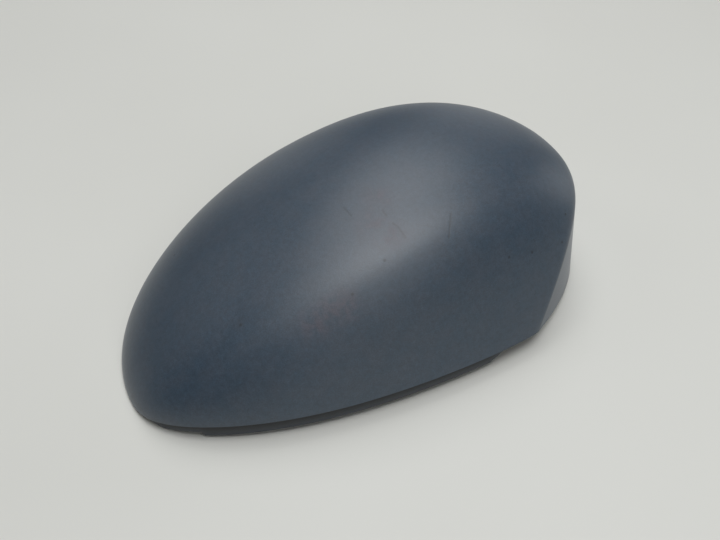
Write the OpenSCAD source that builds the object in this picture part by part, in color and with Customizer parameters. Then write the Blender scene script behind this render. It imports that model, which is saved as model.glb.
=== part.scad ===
// Wing mirror cover: a one-piece moulded cap that snaps over the back of a door mirror.
// X runs from the narrow tip to the wide end, the front face looks along -Y and Z is up.
// The cover lies open side down, as in use on a bench, with its rim standing on Z = 0.

/* [Overall size] */
// Length from the narrow tip to the foot of the wall at the wide end
cover_length = 225; // [220:1:230]
// Thickness of the moulded wall
wall = 2.5; // [2.2:0.1:3]

/* [Dome] */
// Length of the dome before its wide end is trimmed
dome_length = 235.4; // [231:0.1:240]
// Width of the dome at its middle, before its front is trimmed
dome_width = 169.3; // [163:0.1:176]
// Height of the dome over its middle
dome_height = 69.3; // [64:0.1:75]
// Squareness of the outline seen from above, where 2 is an ellipse
plan_power = 2.15; // [2:0.05:2.4]
// Fullness of the flanks, where 1 is an ellipse and less is fuller
flank_power = 1.01; // [0.9:0.01:1.1]
// Fullness of the crown, where 1 is an ellipse and less is fuller
crown_power = 1.05; // [0.95:0.01:1.15]
// How much fuller the crown gets at the wide end and leaner at the tip
crown_twist = 0.13; // [0.05:0.01:0.18]
// Share of its width that the dome gains at the wide end and loses at the tip
width_taper = 0.06; // [0:0.01:0.1]
// Share of its height that the dome gains at the wide end and loses at the tip
height_taper = 0.3; // [0.25:0.01:0.35]
// How far both ends bend towards the front
bow = 5.7; // [3:0.1:9]
// How far the crown leans towards the back
crown_lean = 9.4; // [7:0.1:12]

/* [Front face] */
// How far the foot of the face lies in front of the dome's middle
face_front = 70.4; // [67:0.1:74]
// Distance from the tip to the most forward point of the face
face_middle = 158.1; // [152:0.1:164]
// Radius of the face seen from above
face_radius = 500; // [450:5:550]
// Lean of the face from upright, in degrees
face_lean = 23.4; // [21:0.1:26]
// Lean that the face gains at the wide end and loses at the tip, in degrees
face_twist = 5.7; // [4:0.1:7]
// How far the face rolls back at 60 mm up at the tip, and forward at the wide end
face_roll = 5.3; // [3:0.1:7]
// Width of the rounded crease over the face at mid-length
crease_width = 26.5; // [20:0.5:32]
// Share by which the crease is wider at both ends than at mid-length
crease_growth = 1.2; // [0.8:0.1:1.8]

/* [End wall] */
// Where the wall starts to sweep forward, behind the dome's middle
sweep_start = 14.3; // [10:0.1:18]
// How far the wall is swept in at sweep_run in front of its start
sweep_depth = 9; // [8:0.1:11]
// Run over which the sweep is measured
sweep_run = 40; // [38:1:44]
// Curve of the sweep, where 2 is a parabola
sweep_power = 2.75; // [2.4:0.05:3]
// Draft of the wall from upright, in degrees
end_draft = 8; // [6:0.5:10]
// Width of the rounded edge of the wall at the front corner
edge_front = 1.8; // [1.2:0.1:3]
// Width of the rounded edge of the wall at the back
edge_back = 7; // [4:0.5:10]

/* [Rim and lip] */
// Height of the small step that runs round the foot of the skin
rim_step = 0.6; // [0.4:0.1:1]
// How far the step and the lip are set back from the skin
step_back = 1.2; // [0.8:0.1:1.4]
// Height by which the skin's front edge is arched off the ground
arch_rise = 10.1; // [9.5:0.1:11]
// Plan angle of the top of the arch, turned from the wide end past the back and the tip
arch_middle = 251; // [249:0.5:253]
// Plan angle from the top of the arch to its foot near the tip
arch_left = 74; // [71:1:76]
// Plan angle from the top of the arch to its foot on the end wall
arch_right = 97; // [94:1:104]
// Height of the lip below the skin's front edge, where it drops to its full height
lip_height = 7.9; // [7:0.1:8.6]
// Height of the lip where it ends near the wide end
lip_right = 6.6; // [5.8:0.1:7.4]
// Height of the lip's lower stretch next to the tip
lip_low = 5.3; // [4:0.1:6.2]

/* [Inner fittings] */
// Thickness of the ribs and fins
rib_thickness = 1.6; // [1.2:0.1:2]
// Depth of the ribs under the roof
rib_depth = 4; // [3:0.5:6]
// Depth of the fins that space the housing off the wall
fin_depth = 3; // [2:0.5:5]
// Thickness of a snap hook's tongue
hook_thickness = 2; // [1.6:0.1:2.4]
// Width of a snap hook
hook_width = 12; // [8:1:14]
// Length of a snap hook from its root
hook_length = 20; // [15:1:22]
// Reach of the hook's barb
hook_barb = 1.6; // [1:0.1:2.2]
// Radius of a locating peg
peg_radius = 2.5; // [2:0.1:3]
// Length of a locating peg below its shoulder
peg_length = 9; // [7:1:12]
// Radius of the shoulder that a locating peg stands on
shoulder_radius = 4; // [3.6:0.1:5]
// Height of the shoulder below the roof
shoulder_height = 3; // [2.5:0.5:4]

/* [Hidden] */
paint = [0.35, 0.4, 0.44];

dome_a = dome_length / 2;
dome_b = dome_width / 2;
face_x = face_middle - dome_a;
end_x = cover_length - dome_a;

// Plan angles at which the lip starts, runs level, drops to its full height, fades and ends
lip_start = 187;
lip_level = 200;
lip_drop = 214.6;
lip_full = 215.6;
lip_fade = 281.5;
lip_end = 285.8;
// Plan angle near which the end wall meets the front rim
corner = 318;

// Spokes of the shell, as sectors of [from, to, number of steps]
SECTORS = [
    [0, 180, 42],
    [180, lip_start, 3],
    [lip_start, lip_level, 5],
    [lip_level, lip_drop, 4],
    [lip_drop, lip_full, 1],
    [lip_full, lip_fade, 18],
    [lip_fade, lip_end, 2],
    [lip_end, corner, 10],
    [corner, 360, 26],
];
SPOKES = [for (s = SECTORS) for (i = [0:s[2] - 1]) s[0] + (s[1] - s[0]) * i / s[2]];
// Flatness of the top of the arch
arch_power = 3.5;
// Rings of the outer and inner skin, closer together near the rim
outer_rings = 26;
inner_rings = 12;
ring_growth = 1.15;

// How deep ribs, fins, hooks and pegs are rooted in the wall
root = wall * 0.45;

// Greater or lesser of two values, with a rounded changeover of width k
function rounding(a, b, k) = pow(max(k - abs(a - b), 0), 2) / (4 * k);
function soft_max(a, b, k) = max(a, b) + rounding(a, b, k);
function soft_min(a, b, k) = min(a, b) - rounding(a, b, k);
function signed_pow(base, power) = sign(base) * pow(abs(base), power);

// Height of the skin's edge above the ground at a plan angle
function edge_height(angle) =
    let (
        reach = angle < arch_middle ? arch_left : arch_right,
        v = min(abs(angle - arch_middle) / reach, 1)
    )
    rim_step + arch_rise * pow(1 - pow(v, arch_power), 2);

// Height of the lip below the skin's edge at a plan angle, which never reaches below the ground
function lip_depth(angle) = min(edge_height(angle), lookup(angle, [
    [lip_start, rim_step],
    [lip_level, lip_low],
    [lip_drop, lip_low],
    [lip_full, lip_height],
    [lip_fade, lip_right],
    [lip_end, rim_step],
]));

// Share of the way out and up at a climb of 0 on the rim to 90 degrees on the crown
function share_out(climb) = pow(cos(climb), flank_power);
function share_up(angle, climb) = pow(sin(climb), crown_power - crown_twist * cos(angle));

// A point of the skin, or of the surface that lies inset below it.
// The dome is pushed back to the leaning front face and then in to the end wall.
function skin(angle, climb, inset) =
    let (
        out = share_out(climb),
        up = share_up(angle, climb),
        u = signed_pow(cos(angle), 2 / plan_power) * out,
        w = signed_pow(sin(angle), 2 / plan_power) * out,
        x = (dome_a - inset) * u,
        y = (dome_b * (1 + width_taper * u) - inset) * w - bow * u * u + crown_lean * up * up,
        z = edge_height(angle) * (1 - up) + (dome_height * (1 + height_taper * u) - inset) * up,
        lean = face_lean + face_twist * u,
        foot_y = -face_front + pow(x - face_x, 2) / (2 * face_radius),
        roll = face_roll * u * pow(z / 60, 2),
        face_y = foot_y + z * tan(lean) - roll + inset / cos(lean),
        y_face = soft_max(y, face_y, crease_width * (1 + crease_growth * u * u)),
        run = max(sweep_start - y_face, 0) / sweep_run,
        sweep_slope = sweep_depth * sweep_power / sweep_run * pow(run, sweep_power - 1),
        wall_x = end_x - sweep_depth * pow(run, sweep_power) - z * tan(end_draft)
            - inset * sqrt(1 + sweep_slope * sweep_slope),
        share_back = min(max(y_face / dome_b + 0.6, 0), 1),
        x_wall = soft_min(x, wall_x, edge_front + (edge_back - edge_front) * share_back)
    )
    [x_wall, y_face, z];

function climb_of(ring, rings) = 90 * pow(ring / rings, ring_growth);
function skin_row(ring, rings, inset) = [for (a = SPOKES) skin(a, climb_of(ring, rings), inset)];
function rim_row(inset, share) = [
    for (a = SPOKES)
        let (p = skin(a, 0, inset))
        [p[0], p[1], p[2] - lip_depth(a) * share]
];

// Closed rows from below the outer crown, down the skin, round the rim and up the inside
ROWS = concat(
    [for (i = [outer_rings - 1:-1:0]) skin_row(i, outer_rings, 0)],
    [rim_row(step_back, 0), rim_row(step_back, 1), rim_row(wall, 1)],
    [for (i = [0:inner_rings - 1]) skin_row(i, inner_rings, wall)]
);

// The origin is at the middle of the rim's foot, so the shell is moved by its own bounds
SKIN = [for (i = [0:outer_rings - 1]) each ROWS[i]];
mid_x = (min([for (p = SKIN) p[0]]) + max([for (p = SKIN) p[0]])) / 2;
mid_y = (min([for (p = SKIN) p[1]]) + max([for (p = SKIN) p[1]])) / 2;

// A solid skinned over closed rows of points, from a first point to a last one
module skinned_rows(first, rows, last) {
    n = len(rows[0]);
    last_index = 1 + n * len(rows);
    points = concat([first], [for (row = rows) each row], [last]);
    first_fan = [for (j = [0:n - 1]) [0, 1 + (j + 1) % n, 1 + j]];
    bands = [
        for (k = [0:len(rows) - 2])
            for (j = [0:n - 1])
                let (
                    a = 1 + k * n + j,
                    b = 1 + k * n + (j + 1) % n
                )
                each [[a, b, a + n], [b, b + n, a + n]]
    ];
    foot = 1 + n * (len(rows) - 1);
    last_fan = [for (j = [0:n - 1]) [foot + j, foot + (j + 1) % n, last_index]];
    polyhedron(points, concat(first_fan, bands, last_fan), convexity = 6);
}

module shell() {
    skinned_rows(skin(0, 90, 0), ROWS, skin(0, 90, wall));
}

// Local frame on the inner wall: +X along the rim, +Y inwards, and Z kept
function wall_heading(angle, climb) =
    let (
        a = skin(angle - 1, climb, wall),
        b = skin(angle + 1, climb, wall)
    )
    atan2(b[1] - a[1], b[0] - a[0]);

function inward(point, origin, heading) =
    (point[1] - origin[1]) * cos(heading) - (point[0] - origin[0]) * sin(heading);

module on_wall(origin, heading) {
    translate([origin[0], origin[1], 0]) rotate([0, 0, heading]) children();
}

// A plate across the rim's direction, cut to a profile of [inwards, up] points
module profile_plate(profile, width) {
    rotate([90, 0, 90]) linear_extrude(width, center = true) polygon(profile);
}

// An upright fin that follows the inner wall between two climbs
module fin(angle, low, high) {
    origin = skin(angle, low, wall);
    heading = wall_heading(angle, (low + high) / 2);
    steps = 4;
    climbs = [for (i = [0:steps]) low + (high - low) * i / steps];
    rooted = [for (c = climbs) skin(angle, c, wall - root)];
    free = [for (i = [steps:-1:0]) skin(angle, climbs[i], wall + fin_depth)];
    profile = [for (p = concat(rooted, free)) [inward(p, origin, heading), p[2]]];
    on_wall(origin, heading) profile_plate(profile, rib_thickness);
}

// A snap hook: a tongue that hangs from the inner wall, with a barb on its inner side
module snap_hook(angle, climb) {
    origin = skin(angle, climb, wall);
    heading = wall_heading(angle, climb);
    above = skin(angle, climb + 1, wall);
    below = skin(angle, climb - 1, wall);
    run = inward(above, origin, heading) - inward(below, origin, heading);
    slope = (above[2] - below[2]) / run;
    half = hook_thickness / 2;
    top = origin[2] + root * sqrt(1 + slope * slope);
    tip = origin[2] - hook_length;
    barb_height = 2 * hook_barb;
    profile = [
        [-half, tip],
        [half * 0.4, tip],
        [half + hook_barb, tip + barb_height],
        [half + hook_barb, tip + barb_height + 0.5],
        [half, tip + barb_height + 0.7],
        [half, top + slope * half],
        [-half, top - slope * half],
    ];
    on_wall(origin, heading) profile_plate(profile, hook_width);
}

// Points of the inner section at one x, from the front over the roof to the back
function section_point(x, s, inset) =
    let (
        u = x / (dome_a - inset),
        crest = acos(pow(abs(u), 1 / flank_power)),
        climb = min(crest * (1 - s * s), 89.9),
        share = min(max(u / share_out(climb), -1), 1),
        turn = acos(signed_pow(share, plan_power / 2))
    )
    skin(s < 0 ? 360 - turn : turn, climb, inset);

// A rib under the roof at one x, between two places on the section:
// -1 is the front rim, 0 is the crest and 1 is the back rim
module roof_rib(x, from, to) {
    steps = 20;
    places = [for (i = [0:steps]) from + (to - from) * i / steps];
    rooted = [for (s = places) section_point(x, s, wall - root)];
    free = [for (i = [steps:-1:0]) section_point(x, places[i], wall + rib_depth)];
    profile = [for (p = concat(rooted, free)) [p[1], p[2]]];
    translate([x, 0, 0]) profile_plate(profile, rib_thickness);
}

// A round locating peg that hangs from the roof on a wider shoulder rooted in the wall
module locating_peg(x, s) {
    roof = section_point(x, s, wall);
    translate(roof) {
        translate([0, 0, -shoulder_height])
            cylinder(r = shoulder_radius, h = shoulder_height + root, $fn = 48);
        translate([0, 0, -shoulder_height - peg_length])
            cylinder(r = peg_radius, h = peg_length + shoulder_height, $fn = 48);
    }
}

// Places of the hooks, as [plan angle, climb] of their roots
HOOK_PLACES = [[35, 23], [90, 27], [140, 31], [228, 25], [268, 22]];
// Plan angles of the fins, and the climbs between which they run
FIN_ANGLES = [15, 55, 72, 108, 125, 165, 205, 250, 286];
fin_low = 4;
fin_high = 18;
// Places along X of the ribs and pegs, and how far over the crest they reach or stand
RIB_PLACES = [-62, 0, 52];
rib_reach = 0.75;
PEG_PLACES = [-32, 30];
peg_offset = 0.15;

module mirror_cover() {
    color(paint) translate([-mid_x, -mid_y, 0]) union() {
        shell();
        for (place = HOOK_PLACES) snap_hook(place[0], place[1]);
        for (a = FIN_ANGLES) fin(a, fin_low, fin_high);
        for (x = RIB_PLACES) roof_rib(x, -rib_reach, rib_reach);
        for (x = PEG_PLACES) locating_peg(x, peg_offset);
    }
}

mirror_cover();
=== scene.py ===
import math

import bmesh
import bpy
import numpy as np
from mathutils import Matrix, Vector

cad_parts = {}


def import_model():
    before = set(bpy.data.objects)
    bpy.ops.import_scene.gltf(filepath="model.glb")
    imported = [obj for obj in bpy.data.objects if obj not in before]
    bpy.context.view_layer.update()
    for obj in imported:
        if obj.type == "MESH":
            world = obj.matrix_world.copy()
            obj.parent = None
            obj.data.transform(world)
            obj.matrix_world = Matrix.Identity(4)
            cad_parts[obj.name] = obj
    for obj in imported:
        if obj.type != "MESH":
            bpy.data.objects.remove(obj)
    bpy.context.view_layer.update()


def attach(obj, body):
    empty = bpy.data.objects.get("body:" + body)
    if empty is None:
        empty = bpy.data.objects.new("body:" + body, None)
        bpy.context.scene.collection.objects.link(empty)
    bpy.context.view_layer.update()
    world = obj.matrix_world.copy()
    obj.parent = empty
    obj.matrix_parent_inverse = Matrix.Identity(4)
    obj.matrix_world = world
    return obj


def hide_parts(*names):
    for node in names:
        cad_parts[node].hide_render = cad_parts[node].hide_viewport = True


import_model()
NODE = "mirror_cover"
BODY = "root"

# Sizes in millimetres and degrees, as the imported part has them
COVER_LENGTH, WALL = 225.0, 2.5
DOME_A, DOME_B, DOME_HEIGHT = 117.7, 84.65, 69.3
PLAN_POWER, FLANK_POWER, CROWN_POWER, CROWN_TWIST = 2.15, 1.01, 1.05, 0.13
WIDTH_TAPER, HEIGHT_TAPER, BOW, CROWN_LEAN = 0.06, 0.3, 5.7, 9.4
FACE_FRONT, FACE_X, FACE_RADIUS = 70.4, 40.4, 500.0
FACE_LEAN, FACE_TWIST, FACE_ROLL, ROLL_HEIGHT = 23.4, 5.7, 5.3, 60.0
CREASE_WIDTH, CREASE_GROWTH = 26.5, 1.2
SWEEP_START, SWEEP_DEPTH, SWEEP_RUN, SWEEP_POWER = 14.3, 9.0, 40.0, 2.75
END_DRAFT, EDGE_FRONT, EDGE_BACK, EDGE_BLEND = 8.0, 1.8, 7.0, 0.6
RIM_STEP, STEP_BACK = 0.6, 1.2
ARCH_RISE, ARCH_MIDDLE, ARCH_LEFT, ARCH_RIGHT, ARCH_POWER = 10.1, 251.0, 74.0, 97.0, 3.5
LIP_PLACES = (187.0, 200.0, 214.6, 215.6, 281.5, 285.8)
LIP_DEPTHS = (0.6, 5.3, 5.3, 7.9, 6.6, 0.6)
RIB_THICKNESS, RIB_DEPTH, FIN_DEPTH = 1.6, 4.0, 3.0
HOOK_THICKNESS, HOOK_WIDTH, HOOK_LENGTH = 2.0, 12.0, 20.0
HOOK_BARB, BARB_EDGE, BARB_BACK = 1.6, 0.5, 0.7
PEG_RADIUS, PEG_LENGTH, SHOULDER_RADIUS, SHOULDER_HEIGHT = 2.5, 9.0, 4.0, 3.0
ROOT = WALL * 0.45
HOOK_PLACES = ((35, 23), (90, 27), (140, 31), (228, 25), (268, 22))
FIN_ANGLES = (15, 55, 72, 108, 125, 165, 205, 250, 286)
FIN_LOW, FIN_HIGH = 4.0, 18.0
RIB_PLACES, RIB_REACH = (-62.0, 0.0, 52.0), 0.75
PEG_PLACES, PEG_OFFSET = (-32.0, 30.0), 0.15
MIDDLE_X, MIDDLE_Y = -5.24216, 10.04717

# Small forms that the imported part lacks: the wider edge at the end wall's foot, the groove
# between skin and lip, which fades out where the lip is low, and the rounded edges
FOOT_ROUNDING, FOOT_HEIGHT, FOOT_POWER = 7.0, 24.0, 1.5
GROOVE_DEPTH, GROOVE_HEIGHT, GROOVE_CORNER = 0.7, 1.1, 0.6
GROOVE_FROM, GROOVE_FADE = 1.5, 2.0
SKIN_EDGE, LIP_EDGE, LIP_EDGE_SHARE = 0.45, 0.3, 0.4
PLATE_EDGE, HOOK_EDGE = 0.3, 0.2

# Fineness of the meshes: (from, to, step) in degrees round the rim, and rings up to the crown
SPOKES = (
    (0, 186, 1.0), (186, 202, 0.5), (202, 214, 1.0), (214, 216.2, 0.1),
    (216.2, 281, 1.0), (281, 286.5, 0.25), (286.5, 345, 0.5), (345, 360, 1.0),
)
OUTER_RINGS, INNER_RINGS, RING_GROWTH = 88, 44, 1.15
FIN_STEPS, RIB_STEPS, PEG_SIDES = 9, 41, 40
SHELL_SHARP, PLATE_SHARP = 38, 30

# Finish: colours are linear, and the marks' sizes are in millimetres
PRIMER_COOL, PRIMER_WARM = (0.028, 0.051, 0.079, 1), (0.036, 0.055, 0.081, 1)
# The scuff tint is lighter and pinker than the primer; where it lies on the highlight it is partly a painted
# highlight
SCUFF_AND_HIGHLIGHT_TINT, PLASTIC = (0.056, 0.058, 0.080, 1), (0.012, 0.013, 0.016, 1)
# Near-black painted shade for the groove under the skin's edge and, at about half strength, for the lip
# below it
PAINTED_LIP_SHADE = (0.002, 0.002, 0.003, 1)
ROUGHNESS, SPECULAR = 0.47, 0.8
COAT, COAT_ROUGHNESS = 0.12, 0.4
SHEEN, SHEEN_ROUGHNESS = 0.16, 0.3
BUMP_STRENGTH, BUMP_HEIGHT = 0.25, 0.00012
# Shares for each kind of row: bare plastic inside, painted shade on the groove and lip, and rubbed edges
FINISH_AND_SHADE_PLACES = {"inner": {"inside": 1.0}, "lip": {"groove": 1.0, "lip": 0.55}, "wear": {"edge": 0.6}}

# Noises, as scale, detail and roughness
CLOUD, MOTTLE, PEEL, GRAIN = (16.0, 3.0, 0.55), (150.0, 3.0, 0.6), (520.0, 2.0, 0.5), (1700.0, 2.0, 0.6)
SCUFF_AND_HIGHLIGHT_NOISE, OVERSPRAY_NOISE, FLOOR_NOISE = (260.0, 3.0, 0.6), (70.0, 4.0, 0.7), (3.0, 3.0, 0.5)
OVERSPRAY_DRIFT, OVERSPRAY_HEIGHTS = 0.02, (0.012, 0.034)

NIB_SPACING, NIB_RADIUS, NIB_SHARE = 9.0, 0.45, 0.3
SPECK_RADIUS, SPECK_SOFT, SCRATCH_WIDTH = 0.3, 0.6, 0.8
SCUFF_AND_HIGHLIGHT_RADIUS, SCUFF_AND_HIGHLIGHT_SOFT = 1.5, 9.0

# Places of the marks, in pixels of the photograph
SPECKS = (
    (566, 214), (562, 242), (532, 252), (510, 257),
    (384, 260), (353, 294), (174, 255), (241, 325),
)
SCRATCHES = (
    ((343.5, 207.9), (351.2, 215.6)),
    ((382.8, 210.7), (386.3, 215.6)),
    ((392.6, 223.3), (398.2, 226.1)),
    ((398.2, 226.1), (405.2, 238)),
    ((450.8, 214), (448.7, 237.3)),
)
# Scuff spots, laid where the highlight falls, so their lighter tint is scuffing and painted highlight
# together
SCUFF_AND_HIGHLIGHT_SPOTS = ((378, 200), (372, 225), (388, 235), (330, 312), (345, 305), (315, 322))

# Grid on which the skin is searched for them: degrees round the rim, and rows up to a climb
MARK_STEP, MARK_ROWS, MARK_TOP = 0.5, 360, 89.9

# Soft lamps all round: azimuth 0 is the viewer's side, 90 the right, and power is in watts
LAMP_DISTANCE, LAMP_SIZE, LAMP_TARGET, AMBIENT = 1.3, 0.65, (0, 0, 0.03), 0.06
LAMPS = {
    "ceiling_front": (0, 76, 7.8),
    "ceiling_back": (180, 77, 2.7),
    "window_back_right": (150, 60, 3.0),
    "fill_front": (0, 40, 1.7),
    "fill_left_back": (225, 38, 0.8),
    "horizon_front": (0, 14, 0.6),
    "horizon_right": (90, 14, 1.4),
    "horizon_right_back": (135, 14, 0.8),
    "horizon_back": (180, 14, 0.7),
}

# Floor: linear colours, and the distances in metres over which it fades into the background
FLOOR_DULL, FLOOR_BRIGHT = (0.678, 0.684, 0.650, 1), (0.708, 0.715, 0.682, 1)
FLOOR_HALF, FLOOR_ROUGHNESS, FLOOR_SPECULAR = 3.0, 0.6, 0.3
BACKGROUND, FLOOR_FADE = (0.600, 0.607, 0.576, 1), (0.28, 0.65)

# Camera: millimetres for the lens, degrees, metres, and the picture's shift in pixels
LENS, SENSOR, PICTURE_WIDTH, PICTURE_HEIGHT = 44.0, 36.0, 720, 540
CAMERA_AZIMUTH, CAMERA_ELEVATION, CAMERA_DISTANCE = -28.44, 46.63, 0.39681
TARGET_HEIGHT, SHIFT_X, SHIFT_Y = 0.025, -8.27, -13.63


# The cover's surface

def rounding(a, b, width):
    """Amount to take off where two surfaces meet, within a width on either side."""
    return np.maximum(width - np.abs(a - b), 0.0) ** 2 / (4 * width)


def signed_power(base, power):
    return np.sign(base) * np.abs(base) ** power


def edge_height(angle):
    reach = np.where(angle < ARCH_MIDDLE, ARCH_LEFT, ARCH_RIGHT)
    v = np.minimum(np.abs(angle - ARCH_MIDDLE) / reach, 1.0)
    return RIM_STEP + ARCH_RISE * (1 - v ** ARCH_POWER) ** 2


def lip_depth(angle):
    return np.minimum(edge_height(angle), np.interp(angle, LIP_PLACES, LIP_DEPTHS))


def skin(angle, climb, inset):
    """Point on the skin: degrees round the rim, degrees up to the crown, millimetres inwards."""
    angle = np.asarray(angle, float)
    rise = np.radians(climb)
    turn = np.radians(angle)
    out = np.maximum(np.cos(rise), 0) ** FLANK_POWER
    up = np.maximum(np.sin(rise), 0) ** (CROWN_POWER - CROWN_TWIST * np.cos(turn))
    u = signed_power(np.cos(turn), 2 / PLAN_POWER) * out
    w = signed_power(np.sin(turn), 2 / PLAN_POWER) * out
    x = (DOME_A - inset) * u
    y = (DOME_B * (1 + WIDTH_TAPER * u) - inset) * w - BOW * u * u + CROWN_LEAN * up * up
    z = edge_height(angle) * (1 - up) + (DOME_HEIGHT * (1 + HEIGHT_TAPER * u) - inset) * up
    lean = np.radians(FACE_LEAN + FACE_TWIST * u)
    base = -FACE_FRONT + (x - FACE_X) ** 2 / (2 * FACE_RADIUS)
    face = base + z * np.tan(lean) - FACE_ROLL * u * (z / ROLL_HEIGHT) ** 2 + inset / np.cos(lean)
    y = np.maximum(y, face) + rounding(y, face, CREASE_WIDTH * (1 + CREASE_GROWTH * u * u))
    run = np.maximum(SWEEP_START - y, 0) / SWEEP_RUN
    slope = SWEEP_DEPTH * SWEEP_POWER / SWEEP_RUN * run ** (SWEEP_POWER - 1)
    end = COVER_LENGTH - DOME_A - SWEEP_DEPTH * run ** SWEEP_POWER
    end = end - z * math.tan(math.radians(END_DRAFT)) - inset * np.sqrt(1 + slope * slope)
    back = np.clip(y / DOME_B + EDGE_BLEND, 0, 1)
    foot = FOOT_ROUNDING * np.clip(1 - z / FOOT_HEIGHT, 0, 1) ** FOOT_POWER * (1 - back)
    x = np.minimum(x, end) - rounding(x, end, EDGE_FRONT + (EDGE_BACK - EDGE_FRONT) * back + foot)
    return np.stack(np.broadcast_arrays(x - MIDDLE_X, y - MIDDLE_Y, z), -1)


def spokes():
    return np.unique(np.round(np.concatenate([np.arange(*part) for part in SPOKES]), 3))


def climb_at_height(angle, height):
    """Climb at which the skin stands a given height above its own edge."""
    low = np.zeros_like(angle)
    high = np.full_like(angle, 20.0)
    edge = edge_height(angle)
    for _ in range(30):
        middle = (low + high) / 2
        above = skin(angle, middle, 0.0)[..., 2] - edge > height
        high = np.where(above, middle, high)
        low = np.where(above, low, middle)
    return high


def skin_rows(angle, start, rings, inset):
    rows = []
    for i in range(rings):
        share = (i / rings) ** RING_GROWTH
        rows.append(skin(angle, start + (90 - start) * share, inset))
    return rows


def edge_row(angle, inset, drop, lift):
    """Row along the rim, at the skin's edge for a drop of 0 and at the lip's for 1."""
    row = skin(angle, 0.0, np.broadcast_to(inset, angle.shape))
    row[:, 2] = row[:, 2] - lip_depth(angle) * drop + lift
    return row


def shell_rows(angle):
    """Closed rows from below the crown, down the skin, round the lip and up the inside."""
    rows = skin_rows(angle, climb_at_height(angle, SKIN_EDGE), OUTER_RINGS, 0.0)[::-1]
    kinds = ["skin"] * len(rows)
    for step in (30, 60, 90):
        t = math.radians(step)
        rows.append(edge_row(angle, SKIN_EDGE * (1 - math.cos(t)), 0, SKIN_EDGE * (1 - math.sin(t))))
    kinds += ["edge"] * 3

    depth = lip_depth(angle)
    groove = np.clip((depth - GROOVE_FROM) / GROOVE_FADE, 0.0, 1.0)
    back = STEP_BACK + GROOVE_DEPTH * groove
    rows.append(edge_row(angle, back - 0.1, 0, 0.0))
    rows.append(edge_row(angle, back, 0, -GROOVE_CORNER * GROOVE_HEIGHT * groove - 0.05))
    rows.append(edge_row(angle, STEP_BACK, 0, -GROOVE_HEIGHT * groove - 0.1))
    kinds += ["groove"] * 3

    narrow = np.minimum(LIP_EDGE, depth * LIP_EDGE_SHARE)
    for step in (0, 30, 60, 90):
        t = math.radians(step)
        rows.append(edge_row(angle, STEP_BACK + LIP_EDGE * (1 - math.cos(t)), 1, narrow * (1 - math.sin(t))))
    for step in (90, 60, 30, 0):
        t = math.radians(step)
        rows.append(edge_row(angle, WALL - LIP_EDGE * (1 - math.cos(t)), 1, narrow * (1 - math.sin(t))))
    kinds += ["lip"] * 8

    inner = skin_rows(angle, 0.0, INNER_RINGS, WALL)
    return rows + inner, kinds + ["inside"] * len(inner)


def shell_piece():
    angle = spokes()
    rows, kinds = shell_rows(angle)
    n = len(angle)
    top = skin(0.0, 90.0, 0.0)
    under = skin(0.0, 90.0, WALL)
    points = np.concatenate([top[None, :]] + rows + [under[None, :]]) / 1000
    faces = [(0, 1 + j, 1 + (j + 1) % n) for j in range(n)]
    for k in range(len(rows) - 1):
        a = 1 + k * n
        for j in range(n):
            m = (j + 1) % n
            faces.append((a + j, a + n + j, a + n + m, a + m))
    a = 1 + (len(rows) - 1) * n
    last = len(points) - 1
    faces += [(a + (j + 1) % n, a + j, last) for j in range(n)]
    mesh = bpy.data.meshes.new("cover_shell")
    mesh.from_pydata([tuple(p) for p in points], [], faces)
    mesh.validate()
    kinds = ["skin"] + [kind for kind in kinds for _ in range(n)] + ["inside"]
    for name, shares in FINISH_AND_SHADE_PLACES.items():
        mark(mesh, name, [shares.get(kind, 0.0) for kind in kinds])
    return finished("cover_shell", mesh, SHELL_SHARP)


def mark(mesh, name, values):
    """Write one value for each point, which the material reads by its name."""
    layer = mesh.attributes.new(name, "FLOAT", "POINT")
    layer.data.foreach_set("value", values)


def finished(name, mesh, angle):
    """Object with smooth faces, sharp where they meet at more than an angle."""
    mesh.update()
    for polygon in mesh.polygons:
        polygon.use_smooth = True
    mesh.set_sharp_from_angle(angle=math.radians(angle))
    piece = bpy.data.objects.new(name, mesh)
    bpy.context.scene.collection.objects.link(piece)
    return piece


# The fittings inside, as closed plates and pegs with rounded edges

def wall_heading(angle, climb):
    """Direction of the inner wall seen from above."""
    a = skin(angle - 1, climb, WALL)
    b = skin(angle + 1, climb, WALL)
    return math.atan2(b[1] - a[1], b[0] - a[0])


def inward(point, origin, heading):
    """How far a point lies inwards from the wall at an origin."""
    return (point[1] - origin[1]) * math.cos(heading) - (point[0] - origin[0]) * math.sin(heading)


def plate(mesh, profile, width, origin, heading, radius):
    """A plate across the rim's direction, cut to a profile of (inwards, up) points."""
    along = np.array([math.cos(heading), math.sin(heading), 0.0])
    across = np.array([-math.sin(heading), math.cos(heading), 0.0])
    base = np.array([origin[0], origin[1], 0.0])
    sides = []
    for side in (-0.5, 0.5):
        ring = []
        for reach, height in profile:
            place = base + along * width * side + across * reach + np.array([0, 0, height])
            ring.append(mesh.verts.new(Vector(place / 1000)))
        sides.append(ring)
    count = len(profile)
    made = [mesh.faces.new(sides[0]), mesh.faces.new(list(reversed(sides[1])))]
    for i in range(count):
        j = (i + 1) % count
        made.append(mesh.faces.new((sides[0][j], sides[0][i], sides[1][i], sides[1][j])))
    mesh.normal_update()
    edges = dict.fromkeys(e for f in made for e in f.edges)
    bmesh.ops.bevel(
        mesh,
        geom=[e for e in edges if e.calc_face_angle(0.0) > math.radians(PLATE_SHARP)],
        offset=radius / 1000,
        segments=2,
        profile=0.5,
        affect="EDGES",
        clamp_overlap=True,
    )


def plates_piece(name, build):
    mesh = bmesh.new()
    build(mesh)
    bmesh.ops.recalc_face_normals(mesh, faces=mesh.faces[:])
    data = bpy.data.meshes.new(name)
    mesh.to_mesh(data)
    mesh.free()
    for finish, shares in FINISH_AND_SHADE_PLACES.items():
        mark(data, finish, [shares.get("inside", 0.0)] * len(data.vertices))
    return finished(name, data, PLATE_SHARP)


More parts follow.
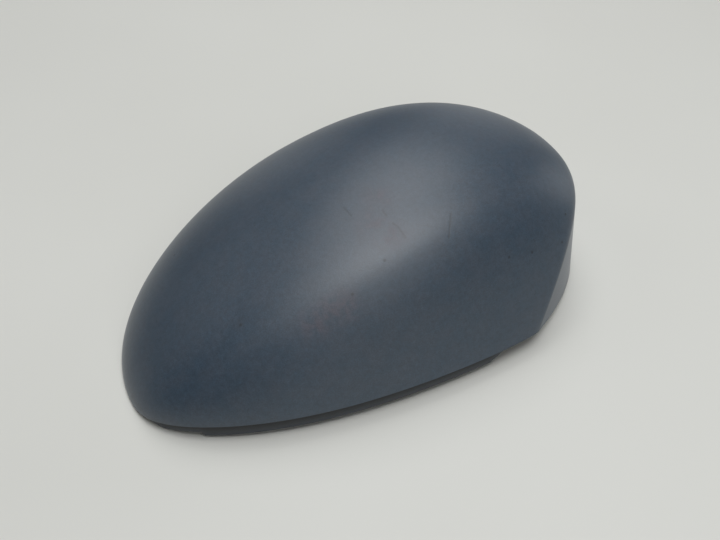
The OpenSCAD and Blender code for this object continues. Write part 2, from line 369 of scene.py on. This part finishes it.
def fins(mesh):
    for angle in FIN_ANGLES:
        origin = skin(angle, FIN_LOW, WALL)
        heading = wall_heading(angle, (FIN_LOW + FIN_HIGH) / 2)
        climbs = np.linspace(FIN_LOW, FIN_HIGH, FIN_STEPS)
        rooted = [skin(angle, c, WALL - ROOT) for c in climbs]
        free = [skin(angle, c, WALL + FIN_DEPTH) for c in climbs[::-1]]
        profile = [(inward(p, origin, heading), p[2]) for p in rooted + free]
        plate(mesh, profile, RIB_THICKNESS, origin, heading, PLATE_EDGE)


def snap_hooks(mesh):
    for angle, climb in HOOK_PLACES:
        origin = skin(angle, climb, WALL)
        heading = wall_heading(angle, climb)
        above = skin(angle, climb + 1, WALL)
        below = skin(angle, climb - 1, WALL)
        slope = (above[2] - below[2]) / (inward(above, origin, heading) - inward(below, origin, heading))
        half = HOOK_THICKNESS / 2
        top = origin[2] + ROOT * math.sqrt(1 + slope * slope)
        tip = origin[2] - HOOK_LENGTH
        rise = 2 * HOOK_BARB
        profile = [
            (-half, tip),
            (half * 0.4, tip),
            (half + HOOK_BARB, tip + rise),
            (half + HOOK_BARB, tip + rise + BARB_EDGE),
            (half, tip + rise + BARB_BACK),
            (half, top + slope * half),
            (-half, top - slope * half),
        ]
        plate(mesh, profile, HOOK_WIDTH, origin, heading, HOOK_EDGE)


def section_point(x, s, inset):
    """Point on a cross section at x, from s = -1 at the front rim to 1 at the back rim."""
    u = x / (DOME_A - inset)
    crest = math.degrees(math.acos(abs(u) ** (1 / FLANK_POWER)))
    climb = min(crest * (1 - s * s), 89.9)
    share = min(max(u / math.cos(math.radians(climb)) ** FLANK_POWER, -1), 1)
    turn = math.degrees(math.acos(float(signed_power(share, PLAN_POWER / 2))))
    return skin(360 - turn if s < 0 else turn, climb, inset)


def roof_ribs(mesh):
    for x in RIB_PLACES:
        places = np.linspace(-RIB_REACH, RIB_REACH, RIB_STEPS)
        rooted = [section_point(x, s, WALL - ROOT) for s in places]
        free = [section_point(x, s, WALL + RIB_DEPTH) for s in places[::-1]]
        profile = [(p[1], p[2]) for p in rooted + free]
        plate(mesh, profile, RIB_THICKNESS, (x - MIDDLE_X, 0.0), 0.0, PLATE_EDGE)


def locating_pegs(mesh):
    for x in PEG_PLACES:
        roof = section_point(x, PEG_OFFSET, WALL)
        foot = roof[2] - SHOULDER_HEIGHT
        tip = foot - PEG_LENGTH
        levels = [
            (roof[2] + ROOT, SHOULDER_RADIUS),
            (foot + 0.3, SHOULDER_RADIUS),
            (foot + 0.1, SHOULDER_RADIUS - 0.1),
            (foot, SHOULDER_RADIUS - 0.3),
            (foot, PEG_RADIUS + 0.2),
            (foot - 0.2, PEG_RADIUS),
            (tip + 1.0, PEG_RADIUS),
            (tip + 0.5, PEG_RADIUS - 0.12),
            (tip + 0.15, PEG_RADIUS - 0.4),
            (tip, PEG_RADIUS - 0.8),
        ]
        rings = []
        for height, radius in levels:
            ring = []
            for i in range(PEG_SIDES):
                t = 2 * math.pi * i / PEG_SIDES
                ring.append(mesh.verts.new((
                    (roof[0] + radius * math.cos(t)) / 1000,
                    (roof[1] + radius * math.sin(t)) / 1000,
                    height / 1000,
                )))
            rings.append(ring)
        for a, b in zip(rings, rings[1:]):
            for i in range(PEG_SIDES):
                j = (i + 1) % PEG_SIDES
                mesh.faces.new((a[i], b[i], b[j], a[j]))
        mesh.faces.new(rings[0])
        mesh.faces.new(list(reversed(rings[-1])))


# Materials

def node(tree, kind, **settings):
    made = tree.nodes.new(kind)
    for key, value in settings.items():
        setattr(made, key, value)
    return made


def feed(tree, target, value):
    """Link a socket, or set it to a constant."""
    if isinstance(value, bpy.types.NodeSocket):
        tree.links.new(value, target)
    elif value is not None:
        target.default_value = value


def maths(tree, operation, a, b=None, c=None):
    made = node(tree, "ShaderNodeMath", operation=operation)
    for socket, value in zip(made.inputs, (a, b, c)):
        feed(tree, socket, value)
    return made.outputs[0]


def vector_maths(tree, operation, a, b=None, scale=None):
    made = node(tree, "ShaderNodeVectorMath", operation=operation)
    feed(tree, made.inputs[0], a)
    feed(tree, made.inputs[1], b)
    if scale is not None:
        feed(tree, made.inputs["Scale"], scale)
    return made


def ranged(tree, value, low, high, to_low=0.0, to_high=1.0):
    made = node(tree, "ShaderNodeMapRange", interpolation_type="SMOOTHSTEP")
    feed(tree, made.inputs[0], value)
    for socket, number in zip(made.inputs[1:5], (low, high, to_low, to_high)):
        socket.default_value = number
    return made.outputs[0]


def noise(tree, place, scale, detail, roughness):
    made = node(tree, "ShaderNodeTexNoise")
    feed(tree, made.inputs["Vector"], place)
    made.inputs["Scale"].default_value = scale
    made.inputs["Detail"].default_value = detail
    made.inputs["Roughness"].default_value = roughness
    return made.outputs[0]


def mix(tree, share, a, b, blend="MIX"):
    made = node(tree, "ShaderNodeMix", data_type="RGBA", blend_type=blend)
    feed(tree, made.inputs[0], share)
    feed(tree, made.inputs[6], a)
    feed(tree, made.inputs[7], b)
    return made.outputs[2]


def first_channel(tree, colour):
    made = node(tree, "ShaderNodeSeparateColor")
    feed(tree, made.inputs[0], colour)
    return made.outputs[0]


def grey(tree, value):
    made = node(tree, "ShaderNodeCombineColor")
    for socket in made.inputs[:3]:
        feed(tree, socket, value)
    return made.outputs[0]


def attribute(tree, name):
    return node(tree, "ShaderNodeAttribute", attribute_name=name).outputs["Fac"]


def spot(tree, place, centre, radius, soft):
    """1 inside a small round mark on the surface, 0 outside it."""
    away = vector_maths(tree, "DISTANCE", place, tuple(c / 1000 for c in centre)).outputs["Value"]
    return ranged(tree, away, radius / 1000, (radius + soft) / 1000, 1.0, 0.0)


def streak(tree, place, start, end, width):
    """1 along a fine scratch between two places, 0 beside it."""
    a = Vector(start) / 1000
    run = Vector(end) / 1000 - a
    offset = vector_maths(tree, "SUBTRACT", place, tuple(a)).outputs[0]
    along = vector_maths(tree, "DOT_PRODUCT", offset, tuple(run / run.length_squared)).outputs["Value"]
    along = maths(tree, "MAXIMUM", maths(tree, "MINIMUM", along, 1.0), 0.0)
    foot = vector_maths(tree, "SCALE", tuple(run), scale=along).outputs[0]
    away = vector_maths(tree, "DISTANCE", offset, foot).outputs["Value"]
    return ranged(tree, away, 0.0, width / 1000, 1.0, 0.0)


def nibs(tree, place, spacing, radius, share):
    """1 inside small dust nibs that are strewn at random, 0 between them."""
    cells = node(tree, "ShaderNodeTexVoronoi", feature="F1")
    feed(tree, cells.inputs["Vector"], place)
    cells.inputs["Scale"].default_value = 1000 / spacing
    chosen = ranged(tree, first_channel(tree, cells.outputs["Color"]), 1 - share, 1 - share + 0.02)
    size = radius / spacing
    dot = ranged(tree, cells.outputs["Distance"], 0.5 * size, 1.3 * size, 1.0, 0.0)
    return maths(tree, "MULTIPLY", chosen, dot)


def largest(tree, shares):
    total = shares[0]
    for share in shares[1:]:
        total = maths(tree, "MAXIMUM", total, share)
    return total


def seen_skin():
    """Points of the skin that face the camera, in millimetres, and the pixels that show them."""
    angles = np.arange(0, 360, MARK_STEP)
    climbs = np.linspace(0, MARK_TOP, MARK_ROWS)
    points = skin(*np.meshgrid(angles, climbs, indexing="ij"), 0.0)
    normals = np.cross(np.gradient(points, axis=0), np.gradient(points, axis=1))
    back = np.array(towards(CAMERA_AZIMUTH, CAMERA_ELEVATION, 1.0))
    right = np.array(towards(CAMERA_AZIMUTH + 90, 0, 1.0))
    up = np.array(towards(CAMERA_AZIMUTH + 180, 90 - CAMERA_ELEVATION, 1.0))
    offset = points - np.array((-MIDDLE_X, -MIDDLE_Y, TARGET_HEIGHT * 1000))
    distance = CAMERA_DISTANCE * 1000
    scale = PICTURE_WIDTH * LENS / SENSOR / (distance - offset @ back)
    across = PICTURE_WIDTH / 2 + scale * (offset @ right) - SHIFT_X
    down = PICTURE_HEIGHT / 2 - scale * (offset @ up) + SHIFT_Y
    facing = (normals * (distance * back - offset)).sum(-1) > 0
    return points[facing], np.stack([across, down], -1)[facing]


def on_skin(seen, pixel):
    """Point of the skin at a pixel of the photograph, to a tenth of a millimetre."""
    points, pixels = seen
    away = np.hypot(*(pixels - pixel).T)
    return points[away.argmin()].round(1)


def primer_material():
    material = bpy.data.materials.new("primer")
    material.use_nodes = True
    tree = material.node_tree
    shader = tree.nodes["Principled BSDF"]
    place = node(tree, "ShaderNodeTexCoord").outputs["Object"]
    inner = attribute(tree, "inner")
    wear = attribute(tree, "wear")
    lip = attribute(tree, "lip")

    cloud = noise(tree, place, *CLOUD)
    mottle = noise(tree, place, *MOTTLE)
    peel = noise(tree, place, *PEEL)
    grain = noise(tree, place, *GRAIN)

    # Sprayed primer: blue grey, a little cloudy, with a fine dry grain
    primer = mix(tree, ranged(tree, mottle, 0.3, 0.7), PRIMER_COOL, PRIMER_WARM)
    seen = seen_skin()
    # Lighter, pinker patches on the highlight: scuffed primer and painted highlight together
    scuff_and_highlight_centres = [on_skin(seen, pixel) for pixel in SCUFF_AND_HIGHLIGHT_SPOTS]
    scuff_and_highlight_share = largest(tree, [spot(tree, place, centre, SCUFF_AND_HIGHLIGHT_RADIUS, SCUFF_AND_HIGHLIGHT_SOFT) for centre in scuff_and_highlight_centres])
    patchy = ranged(tree, noise(tree, place, *SCUFF_AND_HIGHLIGHT_NOISE), 0.35, 0.65)
    scuff_and_highlight_share = maths(tree, "MULTIPLY", scuff_and_highlight_share, patchy)
    primer = mix(tree, scuff_and_highlight_share, primer, SCUFF_AND_HIGHLIGHT_TINT)

    # Bare moulded plastic inside, with overspray that thins out away from the rim
    height = node(tree, "ShaderNodeSeparateXYZ")
    feed(tree, height.inputs[0], place)
    drift = noise(tree, place, *OVERSPRAY_NOISE)
    height = maths(tree, "MULTIPLY_ADD", drift, OVERSPRAY_DRIFT, height.outputs["Z"])
    bare = maths(tree, "MULTIPLY", inner, ranged(tree, height, *OVERSPRAY_HEIGHTS))
    rubbed = maths(tree, "MULTIPLY", wear, ranged(tree, mottle, 0.45, 0.75))
    bare = maths(tree, "MAXIMUM", bare, maths(tree, "MULTIPLY", rubbed, 0.5))
    # The lip attribute mixes in painted shade: near black in the groove and about half on the lip strip
    colour = mix(tree, lip, mix(tree, bare, primer, PLASTIC), PAINTED_LIP_SHADE)

    # Marks: specks and scratches at their places, and dust nibs strewn over the outside
    dots = [on_skin(seen, pixel) for pixel in SPECKS]
    specks = largest(tree, [spot(tree, place, centre, SPECK_RADIUS, SPECK_SOFT) for centre in dots])
    lines = [(on_skin(seen, start), on_skin(seen, end)) for start, end in SCRATCHES]
    scratches = largest(tree, [streak(tree, place, start, end, SCRATCH_WIDTH) for start, end in lines])
    dust = nibs(tree, place, NIB_SPACING, NIB_RADIUS, NIB_SHARE)
    dust = maths(tree, "MULTIPLY", dust, maths(tree, "SUBTRACT", 1.0, inner))
    marks = largest(tree, [
        maths(tree, "MULTIPLY", specks, 0.75),
        maths(tree, "MULTIPLY", scratches, 0.55),
        maths(tree, "MULTIPLY", dust, 0.45),
    ])

    # Each of them darkens the colour a little
    tone = maths(tree, "MULTIPLY_ADD", ranged(tree, cloud, 0.3, 0.7), 0.06, 0.97)
    for share, strength, rest in ((peel, 0.56, 0.72), (grain, 0.9, 0.55), (marks, -0.7, 1.0)):
        tone = maths(tree, "MULTIPLY", tone, maths(tree, "MULTIPLY_ADD", share, strength, rest))
    feed(tree, shader.inputs["Base Color"], mix(tree, 1.0, colour, grey(tree, tone), "MULTIPLY"))

    rough = maths(tree, "MULTIPLY_ADD", mottle, 0.05, ROUGHNESS - 0.05)
    worn = largest(tree, [scuff_and_highlight_share, marks])
    for share, strength in ((grain, 0.05), (worn, 0.06), (inner, 0.08), (lip, 0.35)):
        rough = maths(tree, "ADD", rough, maths(tree, "MULTIPLY", share, strength))
    feed(tree, shader.inputs["Roughness"], rough)
    shader.inputs["Specular IOR Level"].default_value = SPECULAR
    shader.inputs["Coat Weight"].default_value = COAT
    shader.inputs["Coat Roughness"].default_value = COAT_ROUGHNESS
    shader.inputs["Sheen Weight"].default_value = SHEEN
    shader.inputs["Sheen Roughness"].default_value = SHEEN_ROUGHNESS

    bump = node(tree, "ShaderNodeBump")
    bump.inputs["Strength"].default_value = BUMP_STRENGTH
    bump.inputs["Distance"].default_value = BUMP_HEIGHT
    relief = grain
    for share, strength in ((peel, 0.9), (largest(tree, [specks, dust]), 0.8), (scratches, -0.5)):
        relief = maths(tree, "ADD", relief, maths(tree, "MULTIPLY", share, strength))
    feed(tree, bump.inputs["Height"], relief)
    feed(tree, shader.inputs["Normal"], bump.outputs[0])
    return material


def floor_material():
    material = bpy.data.materials.new("pale_floor")
    material.use_nodes = True
    tree = material.node_tree
    shader = tree.nodes["Principled BSDF"]
    place = node(tree, "ShaderNodeTexCoord").outputs["Object"]
    tint = ranged(tree, noise(tree, place, *FLOOR_NOISE), 0.3, 0.7)
    feed(tree, shader.inputs["Base Color"], mix(tree, tint, FLOOR_DULL, FLOOR_BRIGHT))
    shader.inputs["Roughness"].default_value = FLOOR_ROUGHNESS
    shader.inputs["Specular IOR Level"].default_value = FLOOR_SPECULAR

    # Out of the lamps' reach the floor fades into the pale background, for the camera alone
    away = vector_maths(tree, "LENGTH", place).outputs["Value"]
    seen = node(tree, "ShaderNodeLightPath").outputs["Is Camera Ray"]
    pale = node(tree, "ShaderNodeEmission")
    pale.inputs["Color"].default_value = BACKGROUND
    blend = node(tree, "ShaderNodeMixShader")
    feed(tree, blend.inputs[0], maths(tree, "MULTIPLY", seen, ranged(tree, away, *FLOOR_FADE)))
    feed(tree, blend.inputs[1], shader.outputs[0])
    feed(tree, blend.inputs[2], pale.outputs[0])
    feed(tree, tree.nodes["Material Output"].inputs["Surface"], blend.outputs[0])
    return material


# Camera, floor and light

def aim(thing, target):
    direction = Vector(target) - thing.location
    thing.rotation_euler = direction.to_track_quat("-Z", "Y").to_euler()


def towards(azimuth, elevation, distance):
    a, e = math.radians(azimuth), math.radians(elevation)
    return Vector((math.sin(a) * math.cos(e), -math.cos(a) * math.cos(e), math.sin(e))) * distance


def camera():
    data = bpy.data.cameras.new("camera")
    data.lens = LENS
    data.sensor_width = SENSOR
    data.shift_x = SHIFT_X / PICTURE_WIDTH
    data.shift_y = SHIFT_Y / PICTURE_WIDTH
    data.clip_start = 0.01
    made = bpy.data.objects.new("camera", data)
    target = Vector((-MIDDLE_X / 1000, -MIDDLE_Y / 1000, TARGET_HEIGHT))
    made.location = target + towards(CAMERA_AZIMUTH, CAMERA_ELEVATION, CAMERA_DISTANCE)
    aim(made, target)
    bpy.context.scene.collection.objects.link(made)
    bpy.context.scene.camera = made


def lamp(name, azimuth, elevation, power):
    data = bpy.data.lights.new(name, "AREA")
    data.shape = "DISK"
    data.size = LAMP_SIZE
    data.energy = power
    made = bpy.data.objects.new(name, data)
    made.location = towards(azimuth, elevation, LAMP_DISTANCE)
    aim(made, LAMP_TARGET)
    bpy.context.scene.collection.objects.link(made)


def world():
    """Dim even light, and the pale background for the camera alone."""
    made = bpy.data.worlds.new("world")
    made.use_nodes = True
    tree = made.node_tree
    seen = node(tree, "ShaderNodeLightPath").outputs["Is Camera Ray"]
    colour = mix(tree, seen, (AMBIENT, AMBIENT, AMBIENT, 1), BACKGROUND)
    feed(tree, tree.nodes["Background"].inputs["Color"], colour)
    bpy.context.scene.world = made


def floor():
    mesh = bpy.data.meshes.new("floor")
    half = FLOOR_HALF
    corners = [(-half, -half, 0), (half, -half, 0), (half, half, 0), (-half, half, 0)]
    mesh.from_pydata(corners, [], [(0, 1, 2, 3)])
    made = bpy.data.objects.new("floor", mesh)
    mesh.materials.append(floor_material())
    bpy.context.scene.collection.objects.link(made)


camera()
primer = primer_material()
pieces = [
    shell_piece(),
    plates_piece("snap_hooks", snap_hooks),
    plates_piece("wall_fins", fins),
    plates_piece("roof_ribs", roof_ribs),
    plates_piece("locating_pegs", locating_pegs),
]
for piece in pieces:
    piece.data.materials.append(primer)
    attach(piece, BODY)
    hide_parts(NODE)

floor()
world()
for name, (azimuth, elevation, power) in LAMPS.items():
    lamp(name, azimuth, elevation, power)
bpy.context.scene.view_settings.view_transform = "Standard"
